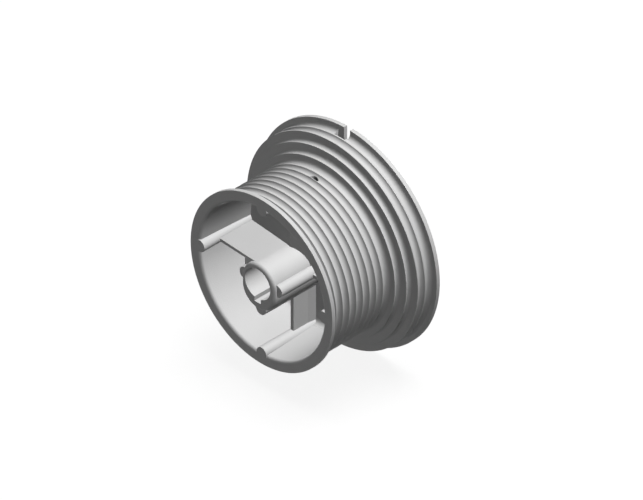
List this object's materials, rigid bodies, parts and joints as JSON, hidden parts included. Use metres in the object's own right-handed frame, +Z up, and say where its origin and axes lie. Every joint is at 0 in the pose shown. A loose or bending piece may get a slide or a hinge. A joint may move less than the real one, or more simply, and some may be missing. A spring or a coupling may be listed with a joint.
{
  "type": "garage door cable drum",
  "caption": "Cast high-lift cable drum: grooved barrel that steps up to a larger grooved end, open ribbed cup, keyed hub for a door shaft, cable slot in the flange.",
  "frame": {"origin": "on the axis of the shaft bore, in the hub's front end face at the small rim", "axes": "+Y along the shaft from the small rim to the flange, +Z up through the cable slot, +X to the right as seen from the small rim"},
  "size_m": [0.1812, 0.0955, 0.1812],
  "materials": {
    "cast_aluminium": "satin as-cast"
  },
  "bodies": {
    "root": {"cable_drum": "cast_aluminium"}
  },
  "joints": []
}
